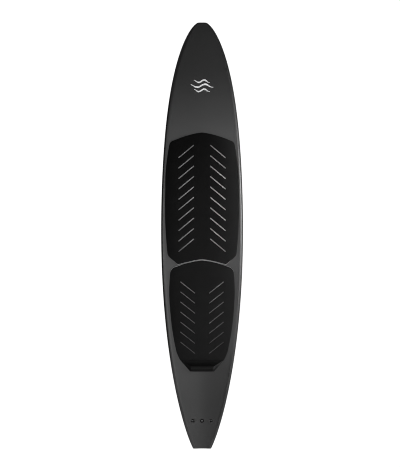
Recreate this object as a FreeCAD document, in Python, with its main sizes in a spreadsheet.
"""Downwind hydrofoil board, 2440 mm (8 ft) long and 469 mm wide.

Frame: +Y points to the nose, +X to the rider's right when facing the nose, +Z up through the deck.
The origin lies on the centreline, at half the length, on the flat of the bottom (z = 0).
All lengths are millimetres.

The board is a foam core between a deck skin and a hull skin, with high-density blocks that hold two
foil tracks, a carry-handle cup, two leash cups and a vent plug.  The deck carries a two-piece
traction pad (adhesive film, grey base layer, black top layer with cut slots) and a kick block.
"""
import FreeCAD, Part
import Sketcher
import math
import os

V = FreeCAD.Vector
doc = FreeCAD.newDocument("downwind_foil_board")
sheet = doc.addObject("Spreadsheet::Sheet", "Params")


# --------------------------------------------------------------------------------------------
# Driving dimensions
# --------------------------------------------------------------------------------------------
class Size:
    """A number together with the expression that reads it from the sheet."""

    def __init__(self, number, text):
        self.number = float(number)
        self.text = text

    def __add__(self, other):
        other = size(other)
        return Size(self.number + other.number, "(%s + %s)" % (self.text, other.text))

    def __sub__(self, other):
        other = size(other)
        return Size(self.number - other.number, "(%s - %s)" % (self.text, other.text))

    def __mul__(self, other):
        other = size(other)
        return Size(self.number * other.number, "(%s * %s)" % (self.text, other.text))

    def __truediv__(self, other):
        other = size(other)
        return Size(self.number / other.number, "(%s / %s)" % (self.text, other.text))

    def __neg__(self):
        return Size(-self.number, "(0 - %s)" % self.text)


def size(value):
    if isinstance(value, Size):
        return value
    return Size(value, "%.10g" % value if value >= 0 else "(0 - %.10g)" % -value)


def root(value):
    return Size(math.sqrt(value.number), "sqrt(%s)" % value.text)


class Dimensions:
    """Every sheet entry, as an attribute that holds its Size."""

    def __init__(self):
        self.rows = 0

    def add(self, name, value, note=""):
        self.rows += 1
        sheet.set("A%d" % self.rows, name)
        sheet.set("B%d" % self.rows, "%.10g" % value)
        sheet.setAlias("B%d" % self.rows, name)
        if note:
            sheet.set("C%d" % self.rows, note)
        setattr(self, name, Size(value, "Params.%s" % name))

    def group(self, stem, words):
        """The entries stem_word, one for each word."""
        return [getattr(self, "%s_%s" % (stem, word)) for word in words]


# name, value, note
DIMENSIONS = [
    # laminate and hull form
    ("skin", 2.0, "laminate thickness"),
    ("glue", 0.1, "bond line between neighbouring pieces"),
    ("end_wall", 6.0, "laminate build-up at nose tip and transom"),
    ("crown_radius", 4000.0, "radius of the deck's crown"),
    ("deck_level", 150.0, "height of the crown line over the level part of the deck"),
    ("tuck", 0.012, "side wall's lean, as a share of the half width"),
    ("chine_rise", 0.35, "bevel top's rise, as a share of a form's inset"),
    ("foot_inset", 0.5, "bevel foot's move inwards, as a share of a form's inset"),
    # joint between the skins
    ("parting_mid", 80.0, "height along the middle"),
    ("parting_tail", 108.8, "height 1300 mm aft"),
    ("parting_nose", 91.3, "height 1300 mm forward"),
    ("parting_reach", 1300.0, "y of the joint line's ends, fore and aft"),
    ("parting_aft_y", -700.0, "aft end of the level part"),
    ("parting_fore_y", 600.0, "forward end of the level part"),
    # sandwich panel under the stance
    ("panel_thick", 4.0), ("stance_y", -90.0), ("stance_wide", 300.0), ("stance_long", 1240.0),
    ("stance_corner", 60.0),
    # traction pad layers, heights above the crown line
    ("film_low", 0.1), ("film_high", 0.35),
    ("base_low", 0.40), ("base_high", 2.40),
    ("top_low", 2.45), ("top_high", 5.45),
    ("film_border", -1.5, "film's reach into the gap between the pads"),
    ("pad_border", 2.5, "grey layer's reach into the gap between the pads"),
    # slots through the black layer; half_y is the right slot's, negative where it falls outwards
    ("front_slot_x", 90.6, "centre from the centreline"), ("front_slot_y", 479.0, "first pair"),
    ("front_slot_half_x", 42.0), ("front_slot_half_y", -34.9), ("front_slot_width", 6.0),
    ("front_slot_pitch", 59.5), ("front_slot_count", 10),
    ("rear_slot_x", 81.9, "centre from the centreline"), ("rear_slot_y", -298.0, "first pair"),
    ("rear_slot_half_x", 40.0), ("rear_slot_half_y", 31.5), ("rear_slot_width", 5.0),
    ("rear_slot_pitch", 57.3), ("rear_slot_count", 7),
    # kick block
    ("kick_sink", 8.0, "foot blank's depth under the crown line, before the under side is cut"),
    ("kick_foot", 152.9, "top of the kick's straight foot"), ("kick_top", 170.0),
    ("kick_top_x", 63.0), ("kick_front_y", -748.0), ("kick_back_y", -767.0),
    # leash cups
    ("fit_y", -1059.0, "leash cups and vent, from the origin"),
    ("flange_chamfer", 0.5, "on the outer rims of leash cups and vent"),
    ("leash_x", 52.0), ("leash_flange", 13.0, "flange radius"), ("leash_body", 11.4),
    ("leash_bore", 9.5), ("leash_deep", 20.0), ("leash_floor", 17.5), ("leash_lip", 1.6),
    ("leash_mouth_chamfer", 0.6),
    ("leash_stand", 0.5, "flange's height over the deck's crown at its centre"),
    ("pin_radius", 2.0), ("pin_half", 11.0), ("pin_drop", 6.5, "pin axis under the flange's top"),
    ("pin_side_gap", 0.03), ("pin_end_gap", 0.05),
    ("leash_block_radius", 24.0), ("leash_block_deep", 32.0),
    # vent plug
    ("vent_flange", 11.6, "flange radius"), ("vent_body", 9.2), ("vent_deep", 24.0),
    ("vent_lip", 1.6), ("vent_stand", 0.5), ("vent_well", 5.2, "counterbore radius"),
    ("vent_well_deep", 5.0), ("vent_well_chamfer", 0.5), ("vent_bore", 3.05),
    ("vent_bore_deep", 14.0), ("vent_chamber", 6.5), ("vent_hole", 2.0), ("vent_floor", 1.6),
    ("membrane_thick", 0.4), ("membrane_side_gap", 0.1), ("membrane_lift", 0.05),
    ("screw_head", 4.4), ("screw_head_high", 3.0), ("screw_shank", 3.0), ("screw_long", 12.0),
    ("screw_chamfer", 0.5), ("screw_key", 1.5, "hexagon's half width across flats"),
    ("screw_key_deep", 1.6),
    ("ring_major", 3.95), ("ring_minor", 0.85), ("ring_gap", 0.02, "under and over the ring"),
    ("vent_block_radius", 22.0), ("vent_block_deep", 34.0),
    # foil tracks on the bottom
    ("track_x", 45.0, "track centreline"), ("track_y", -330.0, "track's middle"),
    ("track_wide", 25.0), ("track_long", 370.0), ("track_high", 22.0), ("track_corner", 4.0),
    ("slot_wide", 9.0), ("slot_long", 340.0), ("lip_high", 5.0),
    ("cavity_wide", 18.0), ("cavity_high", 9.0), ("notch_long", 24.0),
    ("nut_wide", 17.4), ("nut_long", 22.0), ("nut_high", 6.5), ("neck_wide", 8.6),
    ("nut_low", 0.3, "neck's lower face"), ("nut_seat", 5.05),
    ("nut_hole", 3.4, "M8 core hole radius"),
    ("nut_y", 82.5, "nut's distance from the track's middle, at rest"),
    ("track_block_wide", 150.0), ("track_block_long", 412.0), ("track_block_high", 46.0),
    ("track_block_corner", 12.0),
    # carry handle in the bottom
    ("handle_y", 14.0), ("handle_long", 150.0), ("handle_wide", 56.0), ("handle_deep", 40.0),
    ("handle_wall", 2.5), ("handle_rim", 9.0), ("handle_corner", 24.0),
    ("handle_lip", 13.0, "grip lip's reach"), ("handle_lip_high", 7.0),
    ("handle_mouth_share", 0.75, "mouth's corner, as a share of the well's"),
    ("handle_block_wide", 104.0), ("handle_block_long", 198.0), ("handle_block_high", 52.0),
    ("handle_block_corner", 20.0),
    # nose emblem
    ("mark_y", 855.0), ("mark_z", 140.92), ("mark_tilt", 3.67, "deck's fall at the mark, degrees"),
    ("mark_low", 0.12), ("mark_high", 0.30),
    ("stripe_pitch", 26.0), ("stripe_half_long", 66.0, "middle stripe"),
    ("stripe_half_short", 46.0, "outer stripes"), ("stripe_half_high", 4.0),
    ("stripe_slant", 4.0, "slope of the stripe's ends"),
    ("stripe_wave", 220.0, "wave radius of the middle stripe"),
]

# Stations along the hull: y, half width, deck crown, bottom, rail radius, bevel width, bevel height.
# Over the level part the sections stand 1 mm proud, and the crown cylinder and the bottom plane
# trim them, so that the deck is an exact cylinder there and the bottom an exact plane.
STATION_WORDS = ("y", "half", "top", "low", "rail", "bevel", "chine")
STATIONS = [
    (-1220.0, 51.3, 145.0, 78.0, 22.0, 15.4, 24.1),
    (-1200.0, 60.6, 146.5, 74.1, 22.0, 18.2, 26.1),
    (-1160.0, 76.7, 148.8, 66.6, 22.0, 23.0, 29.6),
    (-1100.0, 97.2, 151.0, 55.8, 22.0, 29.2, 33.9),
    (-1000.0, 125.4, 151.0, 39.3, 22.0, 37.6, 39.8),
    (-850.0, 158.8, 151.0, 18.5, 22.0, 42.0, 47.3),
    (-700.0, 184.5, 151.0, 3.8, 22.0, 42.0, 52.6),
    (-500.0, 209.3, 151.0, -1.0, 22.0, 42.0, 54.0),
    (-250.0, 227.8, 151.0, -1.0, 22.0, 42.0, 54.0),
    (0.0, 234.4, 151.0, -1.0, 22.0, 42.0, 54.0),
    (250.0, 231.1, 151.0, 0.9, 22.0, 42.0, 53.7),
    (500.0, 218.3, 151.0, 7.8, 22.0, 42.0, 51.2),
    (700.0, 199.0, 148.3, 19.0, 22.0, 42.0, 46.6),
    (850.0, 176.1, 141.2, 31.0, 22.0, 42.0, 39.7),
    (1000.0, 141.2, 129.6, 46.4, 22.0, 42.0, 30.0),
    (1100.0, 106.7, 119.4, 58.4, 22.0, 32.0, 22.0),
    (1160.0, 77.4, 112.5, 66.4, 17.5, 23.2, 16.6),
    (1200.0, 48.7, 107.6, 72.1, 13.5, 14.6, 12.8),
    (1220.0, 24.1, 105.0, 75.0, 11.4, 7.2, 10.8),
]

# Right halves of the pad outlines, from the front apex clockwise to the rear.  Columns: corner, x, y,
# signed radius of the edge to the next corner (0 is straight, negative turns right), and the share
# of a layer's reach by which the corner moves along y.
PAD_OUTLINES = {
    "front": [
        ("apex", 0.0, 587.6, -584.0, 0.0),
        ("shoulder", 160.6, 541.7, -30.0, 0.0),
        ("side", 187.5, 512.5, -1150.0, 0.0),
        ("wide", 210.5, 260.2, -2675.0, 0.0),
        ("low", 197.3, -106.8, -45.0, 0.0),
        ("heel", 180.6, -129.8, 0.0, 0.0),
        ("toe", 142.0, -162.6, -7.0, -0.55),
        ("tip", 134.0, -165.1, 992.0, -1.0),
        ("seam", 0.0, -135.7, 0.0, -1.0),
    ],
    "rear": [
        ("apex", 0.0, -142.6, -527.0, 1.0),
        ("shoulder", 149.1, -180.0, -40.0, 0.8),
        ("side", 181.8, -215.8, -986.0, 0.0),
        ("wide", 182.4, -422.2, -1483.0, 0.0),
        ("low", 146.5, -663.1, -260.0, 0.0),
        ("heel", 124.6, -712.0, 0.0, 0.0),
        ("end", 68.0, -777.0, 0.0, 0.0),
    ],
}

dim = Dimensions()
for entry in DIMENSIONS:
    dim.add(*entry)
for index, station in enumerate(STATIONS):
    for word, value in zip(STATION_WORDS, station):
        dim.add("station%02d_%s" % (index, word), value)
for end, corners in PAD_OUTLINES.items():
    for corner, x, y, radius, share in corners:
        stem = "%s_pad_%s" % (end, corner)
        dim.add(stem + "_x", x)
        dim.add(stem + "_y", y)
        if radius:
            dim.add(stem + "_radius", radius)
doc.recompute()

TRIM_REACH = 300.0    # half width of the trimming sketches, wider than the board
TRIM_LENGTH = 3000.0  # symmetric cut, longer than the board
CROWN_AXIS = dim.deck_level - dim.crown_radius  # height of the crown cylinder's axis


def crown_drop(x):
    """Fall of the crown from the centreline out to x."""
    return dim.crown_radius - root(dim.crown_radius * dim.crown_radius - x * x)


def both_sides(x):
    return (("right", x), ("left", -x))


# --------------------------------------------------------------------------------------------
# Sketch helpers
# --------------------------------------------------------------------------------------------
def new_body(label):
    return doc.addObject("PartDesign::Body", label)


def plane_of(body, role):
    for item in body.Origin.OriginFeatures:
        if item.Role == role:
            return item
    raise RuntimeError("no origin plane " + role)


def new_sketch(body, name, role="XY_Plane", offset=None):
    """A sketch on an origin plane; offset moves it along the plane's normal (-Y for XZ_Plane)."""
    sketch = body.newObject("Sketcher::SketchObject", name)
    sketch.AttachmentSupport = [(plane_of(body, role), "")]
    sketch.MapMode = "FlatFace"
    if offset is not None:
        sketch.setExpression("AttachmentOffset.Base.z", size(offset).text)
    return sketch


def pin_point(sketch, geometry, position, x, y):
    """Hold a point at (x, y), each read from the sheet."""
    for kind, value, axis in (("DistanceX", x, -2), ("DistanceY", y, -1)):
        if abs(value.number) < 1e-9:
            sketch.addConstraint(Sketcher.Constraint("PointOnObject", geometry, position, axis))
        else:
            at = sketch.addConstraint(
                Sketcher.Constraint(kind, -1, 1, geometry, position, value.number))
            sketch.setExpression("Constraints[%d]" % at, value.text)


def fix_radius(sketch, geometry, radius):
    at = sketch.addConstraint(Sketcher.Constraint("Radius", geometry, radius.number))
    sketch.setExpression("Constraints[%d]" % at, radius.text)


def arc(centre, radius, start, stop):
    return Part.ArcOfCircle(Part.Circle(centre, V(0, 0, 1), radius), start, stop)


def profile(sketch, points, bends=None):
    """Closed outline through points; bends[i] is the signed radius of the edge from point i to the
    next one: positive turns left (counter-clockwise), negative turns right, none is straight."""
    bends = bends or {}
    points = [(size(x), size(y)) for x, y in points]
    total = len(points)
    edges = []  # geometry, its start position, its end position
    for i in range(total):
        ax, ay = [value.number for value in points[i]]
        bx, by = [value.number for value in points[(i + 1) % total]]
        if i not in bends:
            line = sketch.addGeometry(Part.LineSegment(V(ax, ay, 0), V(bx, by, 0)), False)
            edges.append((line, 1, 2))
            continue
        left = bends[i].number > 0
        radius = abs(bends[i].number)
        dx, dy = bx - ax, by - ay
        chord = math.hypot(dx, dy)
        rise = math.sqrt(max(radius * radius - chord * chord / 4.0, 0.0))
        side = 1.0 if left else -1.0
        cx = (ax + bx) / 2.0 - side * dy / chord * rise
        cy = (ay + by) / 2.0 + side * dx / chord * rise
        # arcs always run counter-clockwise, so a right turn is drawn from its far end
        first, second = ((ax, ay), (bx, by)) if left else ((bx, by), (ax, ay))
        start = math.atan2(first[1] - cy, first[0] - cx)
        stop = math.atan2(second[1] - cy, second[0] - cx)
        if stop < start:
            stop += 2 * math.pi
        bend = sketch.addGeometry(arc(V(cx, cy, 0), radius, start, stop), False)
        edges.append((bend, 1, 2) if left else (bend, 2, 1))
    for i in range(total):
        edge, following = edges[i], edges[(i + 1) % total]
        sketch.addConstraint(
            Sketcher.Constraint("Coincident", edge[0], edge[2], following[0], following[1]))
    for edge, point in zip(edges, points):
        pin_point(sketch, edge[0], edge[1], point[0], point[1])
    for i in bends:
        fix_radius(sketch, edges[i][0], bends[i] if bends[i].number > 0 else -bends[i])


def circle(sketch, x, y, radius):
    x, y = size(x), size(y)
    ring = sketch.addGeometry(
        Part.Circle(V(x.number, y.number, 0), V(0, 0, 1), radius.number), False)
    pin_point(sketch, ring, 3, x, y)
    fix_radius(sketch, ring, radius)


def stadium(sketch, x, y, half_x, half_y, radius):
    """A round-ended slot whose end centres are (x - half_x, y - half_y) and (x + half_x, y + half_y)."""
    run = math.hypot(half_x.number, half_y.number)
    ux, uy = half_x.number / run, half_y.number / run
    near_centre = V(x.number - half_x.number, y.number - half_y.number, 0)
    far_centre = V(x.number + half_x.number, y.number + half_y.number, 0)
    across = V(-uy, ux, 0) * radius.number
    angle = math.atan2(uy, ux)
    quarter = math.pi / 2
    low = sketch.addGeometry(Part.LineSegment(near_centre - across, far_centre - across), False)
    far = sketch.addGeometry(
        arc(far_centre, radius.number, angle - quarter, angle + quarter), False)
    high = sketch.addGeometry(Part.LineSegment(far_centre + across, near_centre + across), False)
    near = sketch.addGeometry(
        arc(near_centre, radius.number, angle + quarter, angle + 3 * quarter), False)
    for first, second in ((low, far), (far, high), (high, near), (near, low)):
        sketch.addConstraint(Sketcher.Constraint("Tangent", first, 2, second, 1))
    sketch.addConstraint(Sketcher.Constraint("Equal", far, near))
    pin_point(sketch, far, 3, x + half_x, y + half_y)
    pin_point(sketch, near, 3, x - half_x, y - half_y)
    fix_radius(sketch, far, radius)


def rounded_rect(sketch, x, y, wide, long, corner):
    x, y = size(x), size(y)
    half_x, half_y = wide / 2, long / 2
    west, east = x - half_x, x + half_x
    south, north = y - half_y, y + half_y
    points = [(west + corner, south), (east - corner, south),
              (east, south + corner), (east, north - corner),
              (east - corner, north), (west + corner, north),
              (west, north - corner), (west, south + corner)]
    profile(sketch, points, {1: corner, 3: corner, 5: corner, 7: corner})


def rectangle(sketch, x0, y0, x1, y1):
    profile(sketch, [(x0, y0), (x1, y0), (x1, y1), (x0, y1)])


def centred_rectangle(sketch, wide, long):
    rectangle(sketch, -wide / 2, -long / 2, wide / 2, long / 2)


# --------------------------------------------------------------------------------------------
# Solid helpers
# --------------------------------------------------------------------------------------------
def pad(body, sketch, length, name, both=False):
    feature = body.newObject("PartDesign::Pad", name)
    feature.Profile = sketch
    if both:
        feature.SideType = "Symmetric"
    feature.setExpression("Length", size(length).text)
    body.Tip = feature


def pocket(body, sketch, length, name, both=False, up=False):
    """Cut along the sketch's back side; up turns it to the front side."""
    feature = body.newObject("PartDesign::Pocket", name)
    feature.Profile = sketch
    if both:
        feature.SideType = "Symmetric"
    feature.Reversed = up
    feature.setExpression("Length", size(length).text)
    body.Tip = feature
    return feature


def lofted(body, sketches, name, ruled=False):
    feature = body.newObject("PartDesign::AdditiveLoft", name)
    feature.Profile = sketches[0]
    feature.Sections = sketches[1:]
    feature.Ruled = ruled
    body.Tip = feature


def turned_body(label, points):
    """Revolve a half section, given as (radius, z), about the body's own vertical axis."""
    body = new_body(label)
    sketch = new_sketch(body, label + "_half", "XZ_Plane")
    profile(sketch, points)
    feature = body.newObject("PartDesign::Revolution", label + "_turned")
    feature.Profile = sketch
    feature.ReferenceAxis = (sketch, ["V_Axis"])
    feature.Angle = 360.0
    body.Tip = feature
    return body


def pattern(body, feature_to_repeat, sketch, count, span, name):
    """Repeat a cut towards -Y."""
    feature = body.newObject("PartDesign::LinearPattern", name)
    feature.Originals = [feature_to_repeat]
    feature.Direction = (sketch, ["V_Axis"])
    feature.Reversed = True
    feature.setExpression("Length", span.text)
    feature.setExpression("Occurrences", count.text)
    body.Tip = feature


def prism(label, draw, z, height):
    """An upright prism whose outline draw(sketch) makes."""
    body = new_body(label)
    sketch = new_sketch(body, label + "_outline", "XY_Plane", z)
    draw(sketch)
    pad(body, sketch, height, label + "_pad")
    return body


def place(item, x, y, z):
    for axis, value in zip("xyz", (x, y, z)):
        item.setExpression("Placement.Base.%s" % axis, size(value).text)


def cylinder(name, radius, height, x, y, z):
    item = doc.addObject("Part::Cylinder", name)
    item.setExpression("Radius", radius.text)
    item.setExpression("Height", size(height).text)
    place(item, x, y, z)
    return item


def box(name, wide, long, high, x, y, z):
    """A box centred on (x, y) standing on z."""
    item = doc.addObject("Part::Box", name)
    item.setExpression("Length", wide.text)
    item.setExpression("Width", long.text)
    item.setExpression("Height", high.text)
    place(item, size(x) - wide / 2, size(y) - long / 2, z)
    return item


def cut(name, base, tool):
    item = doc.addObject("Part::Cut", name)
    item.Base = base
    item.Tool = tool
    return item


def common(name, first, second):
    item = doc.addObject("Part::Common", name)
    item.Base = first
    item.Tool = second
    return item


def together(name, items):
    item = doc.addObject("Part::MultiFuse", name)
    item.Shapes = items
    return item


def trim_to_cylinder(body, name, radius, above, axis_z=CROWN_AXIS, depth=80.0,
                     reach=TRIM_REACH, length=TRIM_LENGTH):
    """Cut away what lies above, or else below, a cylinder along Y whose axis is at axis_z."""
    reach = size(reach)
    sketch = new_sketch(body, name + "_arc", "XZ_Plane")
    z = axis_z + root(radius * radius - reach * reach)
    if above:
        far = z + depth
        profile(sketch, [(-reach, z), (reach, z), (reach, far), (-reach, far)], {0: -radius})
    else:
        far = z - depth
        profile(sketch, [(reach, z), (-reach, z), (-reach, far), (reach, far)], {0: radius})
    pocket(body, sketch, length, name, both=True)


def crowned_layer(label, draw, z, low, high):
    """A prism standing on z, trimmed to the shell from low to high above the deck's crown."""
    body = prism(label, draw, z, 60.0)
    trim_to_cylinder(body, label + "_trim_above", dim.crown_radius + high, above=True)
    trim_to_cylinder(body, label + "_trim_below", dim.crown_radius + low, above=False)
    return body


# --------------------------------------------------------------------------------------------
# Hull form
# --------------------------------------------------------------------------------------------
def hull_section(body, name, number, inset, y_shift):
    """One station's cross-section, inset from the outer surface."""
    y, half, top, low, rail, bevel, chine = dim.group("station%02d" % number, STATION_WORDS)
    sketch = new_sketch(body, name, "XZ_Plane", -(y + y_shift))
    crown = dim.crown_radius
    centre = top - crown
    edge_x = half - rail
    edge_z = centre + root((crown - inset) * (crown - inset) - edge_x * edge_x)
    rail_z = centre + root(crown * crown - edge_x * edge_x) - rail
    side_x = half - inset
    chine_x = half - half * dim.tuck - inset
    chine_z = low + chine + inset * dim.chine_rise
    foot_x = half - bevel - inset * dim.foot_inset
    foot_z = low + inset
    points = [(-foot_x, foot_z), (foot_x, foot_z), (chine_x, chine_z), (side_x, rail_z),
              (edge_x, edge_z), (-edge_x, edge_z), (-side_x, rail_z), (-chine_x, chine_z)]
    profile(sketch, points, {3: rail - inset, 4: crown - inset, 5: rail - inset})
    return sketch


def hull_form(label, inset, end_inset):
    """Loft through the stations, inset from the outer surface, trimmed by crown and bottom plane."""
    inset, end_inset = size(inset), size(end_inset)
    body = new_body(label)
    last = len(STATIONS) - 1
    y_shifts = {0: end_inset, last: -end_inset}
    sections = [hull_section(body, "%s_section%02d" % (label, i), i, inset, y_shifts.get(i, 0.0))
                for i in range(len(STATIONS))]
    lofted(body, sections, label + "_loft")
    trim_to_cylinder(body, label + "_crown", dim.crown_radius - inset, above=True, depth=60.0)
    below = new_sketch(body, label + "_below", "XZ_Plane")
    rectangle(below, -TRIM_REACH, -20.0, TRIM_REACH, inset)
    pocket(body, below, TRIM_LENGTH, label + "_bottom", both=True)
    return body


def parting(label, drop):
    """Everything above the skins' joint, lowered by drop, as one tall prism across the board."""
    body = new_body(label)
    sketch = new_sketch(body, label + "_side", "YZ_Plane")
    ceiling = 260.0
    profile(sketch, [(-dim.parting_reach, dim.parting_tail - drop),
                     (dim.parting_aft_y, dim.parting_mid - drop),
                     (dim.parting_fore_y, dim.parting_mid - drop),
                     (dim.parting_reach, dim.parting_nose - drop),
                     (dim.parting_reach, ceiling), (-dim.parting_reach, ceiling)])
    pad(body, sketch, 700.0, label + "_prism", both=True)
    return body


def track_outline(sketch, x, y, grow):
    """A foil track's plan, grown on every side."""
    grow = size(grow)
    rounded_rect(sketch, x, y, dim.track_wide + grow * 2, dim.track_long + grow * 2,
                 dim.track_corner)


def handle_outline(sketch, grow):
    """The handle well's plan, grown on every side."""
    grow = size(grow)
    rounded_rect(sketch, 0.0, dim.handle_y, dim.handle_wide + grow * 2,
                 dim.handle_long + grow * 2, dim.handle_corner)


def make_deck_skin(shell):
    """Upper half of the shell, with openings for the three tail fittings."""
    hole_z, hole_high = 120.0, 60.0
    holes = [cylinder("hole_leash_" + side, dim.leash_flange + dim.glue, hole_high,
                      x, dim.fit_y, hole_z)
             for side, x in both_sides(dim.leash_x)]
    holes.append(cylinder("hole_vent", dim.vent_flange + dim.glue, hole_high,
                          0.0, dim.fit_y, hole_z))
    half = common("deck_half", shell, parting("upper_zone", 0.0))
    return cut("deck_skin", half, together("deck_holes", holes))


def make_hull_skin(shell):
    """Lower half of the shell, with openings for the two tracks and the handle cup's rim."""
    hole_z, hole_high = -5.0, 20.0
    openings = [prism("opening_track_" + side,
                      lambda sketch: track_outline(sketch, x, dim.track_y, dim.glue),
                      hole_z, hole_high)
                for side, x in both_sides(dim.track_x)]
    rim_grow = dim.handle_wall + dim.handle_rim + dim.glue
    openings.append(prism("opening_handle", lambda sketch: handle_outline(sketch, rim_grow),
                          hole_z, hole_high))
    half = cut("hull_half", shell, parting("upper_zone_low", dim.glue))
    return cut("hull_skin", half, together("hull_openings", openings))


# --------------------------------------------------------------------------------------------
# Core and high-density inserts
# --------------------------------------------------------------------------------------------
SKIN_DEPTH = dim.skin + dim.glue  # from the outer surface to what lies under the skin
FITTING_TOP = dim.deck_level - SKIN_DEPTH
LEASH_BLOCK_TOP = FITTING_TOP - crown_drop(dim.leash_x + dim.leash_block_radius)
VENT_BLOCK_TOP = FITTING_TOP - crown_drop(dim.vent_block_radius)


def stance_layer(label, grow, low, high):
    """A rounded plate under the stance that follows the crown."""
    grow = size(grow)

    def draw(sketch):
        rounded_rect(sketch, 0.0, dim.stance_y, dim.stance_wide + grow * 2,
                     dim.stance_long + grow * 2, dim.stance_corner + grow)

    return crowned_layer(label, draw, 120.0, low, high)


def make_stance_panel():
    return stance_layer("stance_panel", 0.0, -(SKIN_DEPTH + dim.panel_thick), -SKIN_DEPTH)


def insert_block(label, y, stem):
    """A rounded block that stands on the hull skin."""
    wide, long, high, corner = dim.group(stem, ("wide", "long", "high", "corner"))
    return prism(label, lambda sketch: rounded_rect(sketch, 0.0, y, wide, long, corner),
                 SKIN_DEPTH, high - SKIN_DEPTH)


def make_track_block():
    body = insert_block("track_block", dim.track_y, "track_block")
    rebates = new_sketch(body, "track_rebates", "XY_Plane", dim.track_high + dim.glue)
    for side, x in both_sides(dim.track_x):
        track_outline(rebates, x, dim.track_y, dim.glue)
    pocket(body, rebates, 60.0, "track_rebates_cut")
    return body


def make_handle_block():
    body = insert_block("handle_block", dim.handle_y, "handle_block")
    rebate = new_sketch(body, "handle_rebate", "XY_Plane",
                        dim.handle_deep + dim.handle_wall + dim.glue)
    handle_outline(rebate, dim.handle_wall + dim.glue)
    pocket(body, rebate, 80.0, "handle_rebate_cut")
    return body


def fitting_block(label, x, top, radius, deep, bore, bore_deep):
    """A round block with a blind bore, around a tail fitting."""
    body = turned_body(label, [(0.0, -deep), (radius, -deep), (radius, 0.0), (bore, 0.0),
                               (bore, -bore_deep), (0.0, -bore_deep)])
    place(body, x, dim.fit_y, top)
    return body


def make_fitting_blocks():
    blocks = [fitting_block("leash_block_" + side, x, LEASH_BLOCK_TOP, dim.leash_block_radius,
                            dim.leash_block_deep, dim.leash_body + dim.glue,
                            dim.leash_deep + dim.glue)
              for side, x in both_sides(dim.leash_x)]
    blocks.append(fitting_block("vent_block", 0.0, VENT_BLOCK_TOP, dim.vent_block_radius,
                                dim.vent_block_deep, dim.vent_body + dim.glue,
                                dim.vent_deep + dim.glue))
    return blocks


def block_room(name, y, stem):
    """Room for an insert block, carried on below the bottom."""
    below = 10.0
    wide, long, high = dim.group(stem, ("wide", "long", "high"))
    gap = dim.glue * 2
    return box(name, wide + gap, long + gap, high + dim.glue + below, 0.0, y, -below)


def fitting_room(name, x, top, radius, deep):
    """Room for a fitting block, carried on above the deck."""
    return cylinder(name, radius + dim.glue, 80.0, x, dim.fit_y, top - deep - dim.glue)


def make_foam_core():
    """The inner hull form less the room of every insert."""
    form = hull_form("core_form", SKIN_DEPTH, dim.end_wall + dim.glue)
    rooms = [
        stance_layer("stance_room", dim.glue, -(SKIN_DEPTH + dim.glue + dim.panel_thick), 20.0),
        block_room("room_tracks", dim.track_y, "track_block"),
        block_room("room_handle", dim.handle_y, "handle_block"),
    ]
    for side, x in both_sides(dim.leash_x):
        rooms.append(fitting_room("room_leash_" + side, x, LEASH_BLOCK_TOP,
                                  dim.leash_block_radius, dim.leash_block_deep))
    rooms.append(fitting_room("room_vent", 0.0, VENT_BLOCK_TOP,
                              dim.vent_block_radius, dim.vent_block_deep))
    return cut("foam_core", form, together("core_rooms", rooms))


# --------------------------------------------------------------------------------------------
# Foil tracks and their T-nuts
# --------------------------------------------------------------------------------------------
def foil_track(label, x):
    """A bar with a T-shaped channel open at the bottom, and a notch in its lips at the middle."""
    body = prism(label, lambda sketch: track_outline(sketch, 0.0, 0.0, 0.0), 0.0, dim.track_high)
    # name, width, length, starting height, height
    for name, wide, long, z, high in (
            ("_slot", dim.slot_wide, dim.slot_long, 0.0, dim.lip_high),
            ("_cavity", dim.cavity_wide, dim.slot_long, dim.lip_high, dim.cavity_high),
            ("_notch", dim.cavity_wide, dim.notch_long, 0.0, dim.lip_high)):
        sketch = new_sketch(body, label + name, "XY_Plane", z)
        centred_rectangle(sketch, wide, long)
        pocket(body, sketch, high, label + name + "_cut", up=True)
    place(body, x, dim.track_y, 0.0)
    return body


def track_nut(label, x, y):
    body = new_body(label)
    section = new_sketch(body, label + "_section", "XZ_Plane")
    neck, wing = dim.neck_wide / 2, dim.nut_wide / 2
    low, seat = dim.nut_low, dim.nut_seat
    top = seat + dim.nut_high
    profile(section, [(-neck, low), (neck, low), (neck, seat), (wing, seat),
                      (wing, top), (-wing, top), (-wing, seat), (-neck, seat)])
    pad(body, section, dim.nut_long, label + "_pad", both=True)
    thread = new_sketch(body, label + "_thread", "XY_Plane")
    circle(thread, 0.0, 0.0, dim.nut_hole)
    pocket(body, thread, 40.0, label + "_thread_cut", up=True)
    place(body, x, y, 0.0)
    return body


def make_tracks():
    return [foil_track("foil_track_" + side, x) for side, x in both_sides(dim.track_x)]


def make_track_nuts():
    return [track_nut("track_nut_%s_%s" % (end, side), x, dim.track_y + shift)
            for end, shift in (("front", dim.nut_y), ("rear", -dim.nut_y))
            for side, x in both_sides(dim.track_x)]


# --------------------------------------------------------------------------------------------
# Carry-handle cup: rim, wall, and a grip lip along its right side
# --------------------------------------------------------------------------------------------
def make_handle_cup():
    body = prism("handle_cup", lambda sketch: handle_outline(sketch, dim.handle_wall
                                                             + dim.handle_rim), 0.0, dim.skin)
    wall = new_sketch(body, "handle_wall_outline", "XY_Plane")
    handle_outline(wall, dim.handle_wall)
    pad(body, wall, dim.handle_deep + dim.handle_wall, "handle_wall_pad")
    well = new_sketch(body, "handle_well_outline", "XY_Plane", dim.handle_lip_high)
    handle_outline(well, 0.0)
    pocket(body, well, dim.handle_deep - dim.handle_lip_high, "handle_well_cut", up=True)
    mouth = new_sketch(body, "handle_mouth_outline", "XY_Plane")
    rounded_rect(mouth, -dim.handle_lip / 2, dim.handle_y, dim.handle_wide - dim.handle_lip,
                 dim.handle_long, dim.handle_corner * dim.handle_mouth_share)
    pocket(body, mouth, dim.handle_lip_high, "handle_mouth_cut", up=True)
    return body


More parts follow.
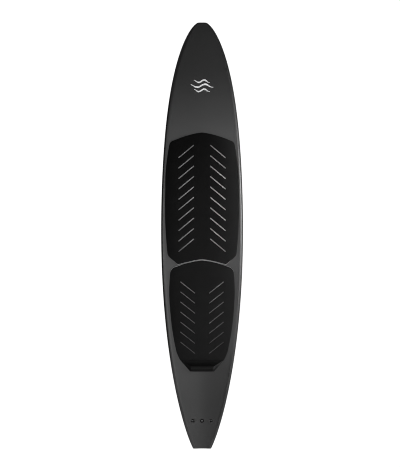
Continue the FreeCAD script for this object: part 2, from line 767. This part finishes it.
# --------------------------------------------------------------------------------------------
# Leash cups with their cross pins
# --------------------------------------------------------------------------------------------
LEASH_TOP = dim.deck_level - crown_drop(dim.leash_x) + dim.leash_stand


def leash_cup(label, x):
    """Turned about its own axis; z = 0 is the flange's top."""
    flange, bore, chamfer = dim.leash_flange, dim.leash_bore, dim.flange_chamfer
    body = turned_body(label, [
        (0.0, -dim.leash_deep), (dim.leash_body, -dim.leash_deep),
        (dim.leash_body, -dim.leash_lip), (flange, -dim.leash_lip),
        (flange, -chamfer), (flange - chamfer, 0.0),
        (bore + dim.leash_mouth_chamfer, 0.0), (bore, -dim.leash_mouth_chamfer),
        (bore, -dim.leash_floor), (0.0, -dim.leash_floor)])
    pin_hole = new_sketch(body, label + "_pin_hole", "YZ_Plane")
    circle(pin_hole, 0.0, -dim.pin_drop, dim.pin_radius + dim.pin_side_gap)
    pocket(body, pin_hole, (dim.pin_half + dim.pin_end_gap) * 2, label + "_pin_hole_cut",
           both=True)
    place(body, x, dim.fit_y, LEASH_TOP)
    return body


def leash_pin(label, x):
    """A plain pin along X."""
    pin = cylinder(label, dim.pin_radius, dim.pin_half * 2, 0.0, 0.0, 0.0)
    pin.Placement = FreeCAD.Placement(V(0, 0, 0), FreeCAD.Rotation(V(0, 1, 0), 90))
    place(pin, x - dim.pin_half, dim.fit_y, LEASH_TOP - dim.pin_drop)
    return pin


def make_leash_fittings():
    cups = [leash_cup("leash_cup_" + side, x) for side, x in both_sides(dim.leash_x)]
    pins = [leash_pin("leash_pin_" + side, x) for side, x in both_sides(dim.leash_x)]
    return cups + pins


# --------------------------------------------------------------------------------------------
# Vent plug: housing, membrane, O-ring, screw
# --------------------------------------------------------------------------------------------
VENT_TOP = dim.deck_level + dim.vent_stand
CHAMBER_FLOOR = dim.vent_deep - dim.vent_floor  # depth under the flange's top
# the O-ring lies on the counterbore's floor, the screw head just above it
RING_Z = VENT_TOP - dim.vent_well_deep + dim.ring_minor + dim.ring_gap


def make_vent_housing():
    """Turned about its own axis; z = 0 is the flange's top."""
    flange, well, chamfer = dim.vent_flange, dim.vent_well, dim.flange_chamfer
    body = turned_body("vent_housing", [
        (dim.vent_bore, -dim.vent_well_deep), (dim.vent_bore, -dim.vent_bore_deep),
        (dim.vent_chamber, -dim.vent_bore_deep), (dim.vent_chamber, -CHAMBER_FLOOR),
        (dim.vent_hole, -CHAMBER_FLOOR), (dim.vent_hole, -dim.vent_deep),
        (dim.vent_body, -dim.vent_deep), (dim.vent_body, -dim.vent_lip),
        (flange, -dim.vent_lip), (flange, -chamfer), (flange - chamfer, 0.0),
        (well + dim.vent_well_chamfer, 0.0), (well, -dim.vent_well_chamfer),
        (well, -dim.vent_well_deep)])
    place(body, 0.0, dim.fit_y, VENT_TOP)
    return body


def make_vent_membrane():
    """A disc just above the chamber's floor."""
    return cylinder("vent_membrane", dim.vent_chamber - dim.membrane_side_gap,
                    dim.membrane_thick, 0.0, dim.fit_y,
                    VENT_TOP - CHAMBER_FLOOR + dim.membrane_lift)


def make_vent_ring():
    ring = doc.addObject("Part::Torus", "vent_o_ring")
    ring.setExpression("Radius1", dim.ring_major.text)
    ring.setExpression("Radius2", dim.ring_minor.text)
    place(ring, 0.0, dim.fit_y, RING_Z)
    return ring


def make_vent_screw():
    """Turned about its own axis, with a hexagon socket; z = 0 is the head's under side."""
    head, shank, chamfer = dim.screw_head, dim.screw_shank, dim.screw_chamfer
    body = turned_body("vent_screw", [
        (0.0, -dim.screw_long), (shank - chamfer, -dim.screw_long),
        (shank, -(dim.screw_long - chamfer)), (shank, 0.0), (head, 0.0),
        (head, dim.screw_head_high - chamfer), (head - chamfer, dim.screw_head_high),
        (0.0, dim.screw_head_high)])
    socket = new_sketch(body, "vent_screw_key", "XY_Plane", dim.screw_head_high)
    corner_radius = dim.screw_key * 2 / math.sqrt(3)
    profile(socket, [(corner_radius * math.cos(math.pi / 3 * k),
                      corner_radius * math.sin(math.pi / 3 * k)) for k in range(6)])
    pocket(body, socket, dim.screw_key_deep, "vent_screw_key_cut")
    place(body, 0.0, dim.fit_y, RING_Z + dim.ring_minor + dim.ring_gap)
    return body


# --------------------------------------------------------------------------------------------
# Traction pads
# --------------------------------------------------------------------------------------------
def pad_outline(sketch, end, corners, reach):
    """A right-hand outline closed with its mirror image."""
    points = []
    bends = {}
    for i, (corner, _, _, radius, share) in enumerate(corners):
        stem = "%s_pad_%s" % (end, corner)
        x, y = dim.group(stem, ("x", "y"))
        points.append((x, y + size(reach) * share if share else y))
        if radius:
            bends[i] = getattr(dim, stem + "_radius")
    # corners on the centreline have no mirror image
    points += [(-x, y) for x, y in reversed(points) if x.number > 0]
    for i in list(bends):
        # the mirror of edge i -> i+1 runs from mirror(i+1) to mirror(i)
        bends[len(points) - 1 - i] = bends[i]
    profile(sketch, points, bends)


def pad_layer(end, layer, corners, reach, low, high):
    return crowned_layer("%s_pad_%s" % (end, layer),
                         lambda sketch: pad_outline(sketch, end, corners, reach),
                         130.0, low, high)


def cut_slots(body, end):
    """A row of mirrored, slanting slot pairs."""
    x, y, half_x, half_y, width, pitch, count = dim.group(
        end + "_slot", ("x", "y", "half_x", "half_y", "width", "pitch", "count"))
    sketch = new_sketch(body, end + "_slots", "XY_Plane", 190.0)
    stadium(sketch, x, y, half_x, half_y, width / 2)
    stadium(sketch, -x, y, half_x, -half_y, width / 2)
    first_pair = pocket(body, sketch, 80.0, end + "_slots_cut")
    pattern(body, first_pair, sketch, count, pitch * (count - 1), end + "_slots_row")


def traction_pad(end, top_corners):
    """Adhesive film, grey base layer and slotted black layer; the last has its own corners."""
    corners = PAD_OUTLINES[end]
    film = pad_layer(end, "adhesive", corners, dim.film_border, dim.film_low, dim.film_high)
    base = pad_layer(end, "base", corners, dim.pad_border, dim.base_low, dim.base_high)
    top = pad_layer(end, "top", top_corners, 0.0, dim.top_low, dim.top_high)
    cut_slots(top, end)
    return [film, base, top]


def make_kick():
    """A straight foot, then a bar with sloping sides."""
    body = new_body("rear_kick")
    foot_low = dim.deck_level - dim.kick_sink
    back_x, back_y = dim.rear_pad_end_x, dim.rear_pad_end_y
    # the front edge leaves a bond line to the black layer
    front_x, front_y = dim.rear_pad_heel_x - dim.glue, dim.rear_pad_heel_y - dim.glue
    foot = [(-back_x, back_y), (back_x, back_y), (front_x, front_y), (-front_x, front_y)]
    crest = [(-dim.kick_top_x, dim.kick_back_y), (dim.kick_top_x, dim.kick_back_y),
             (dim.kick_top_x, dim.kick_front_y), (-dim.kick_top_x, dim.kick_front_y)]
    outline = new_sketch(body, "kick_foot_outline", "XY_Plane", foot_low)
    profile(outline, foot)
    pad(body, outline, dim.kick_foot - foot_low, "kick_foot_pad")
    lower = new_sketch(body, "kick_lower", "XY_Plane", dim.kick_foot)
    profile(lower, foot)
    upper = new_sketch(body, "kick_upper", "XY_Plane", dim.kick_top)
    profile(upper, crest)
    lofted(body, [lower, upper], "kick_slopes", ruled=True)
    trim_to_cylinder(body, "kick_under_cut", dim.crown_radius + dim.top_low, above=False,
                     depth=60.0)
    return body


# --------------------------------------------------------------------------------------------
# Nose emblem: three plain wave stripes in a thin film, lying on the deck's fall
# --------------------------------------------------------------------------------------------
def draw_stripes(sketch):
    short, long = dim.stripe_half_short, dim.stripe_half_long
    for row, half in ((1, short), (0, long), (-1, short)):
        middle = dim.stripe_pitch * row
        low, high = middle - dim.stripe_half_high, middle + dim.stripe_half_high
        top_half = half - dim.stripe_slant
        wave = dim.stripe_wave * half / long
        profile(sketch, [(-half, low), (0.0, low), (half, low),
                         (top_half, high), (0.0, high), (-top_half, high)],
                {0: wave, 1: -wave, 3: wave, 4: -wave})


def make_nose_decal():
    body = prism("nose_decal", draw_stripes, -30.0, 60.0)
    # the body's own origin lies on the crown line
    for name, height, above in (("above", dim.mark_high, True), ("below", dim.mark_low, False)):
        trim_to_cylinder(body, "nose_decal_trim_" + name, dim.crown_radius + height, above,
                         axis_z=-dim.crown_radius, depth=50.0, reach=150.0, length=600.0)
    # the axis must lie along X before the expressions turn the body about it
    body.Placement = FreeCAD.Placement(V(0, 0, 0), FreeCAD.Rotation(V(1, 0, 0), 0))
    body.setExpression("Placement.Rotation.Axis.x", "1")
    body.setExpression("Placement.Rotation.Angle", "0 - Params.mark_tilt")
    place(body, 0.0, dim.mark_y, dim.mark_z)
    return body


# --------------------------------------------------------------------------------------------
# Build, check, write
# --------------------------------------------------------------------------------------------
hull_shell = cut("hull_shell", hull_form("outer_form", 0.0, 0.0),
                 hull_form("inner_form", dim.skin, dim.end_wall))
pieces = [make_deck_skin(hull_shell), make_hull_skin(hull_shell),
          make_stance_panel(), make_track_block(), make_handle_block()]
pieces += make_fitting_blocks()
pieces.append(make_foam_core())
pieces += make_tracks()
pieces += make_track_nuts()
pieces.append(make_handle_cup())
pieces += make_leash_fittings()
pieces += [make_vent_housing(), make_vent_membrane(), make_vent_ring(), make_vent_screw()]
pieces += traction_pad("front", PAD_OUTLINES["front"])
# the rear pad's black layer ends at the heel, where the kick block begins
pieces += traction_pad("rear", PAD_OUTLINES["rear"][:-1])
pieces += [make_kick(), make_nose_decal()]

doc.recompute()
problems = []
for item in doc.Objects:
    if "Invalid" in item.State or "Error" in item.State:
        problems.append("%s (%s): %s" % (item.Name, item.TypeId, item.State))
for item in doc.Objects:
    if item.TypeId == "PartDesign::Pocket" and item.BaseFeature is not None:
        taken = item.BaseFeature.Shape.Volume - item.Shape.Volume
        # the hull forms' crown and bottom trims may take next to nothing
        if taken < 1.0 and not item.Name.endswith(("_bottom", "_crown")):
            problems.append("%s cuts nothing (%.3f)" % (item.Name, taken))
for item in pieces:
    if item.Shape.isNull() or not item.Shape.isValid() or not item.Shape.Solids:
        problems.append("%s: no valid solid" % item.Label)
if problems:
    raise RuntimeError("; ".join(problems))

os.makedirs("parts", exist_ok=True)
for item in pieces:
    item.Shape.exportStep(os.path.join("parts", item.Label + ".step"))
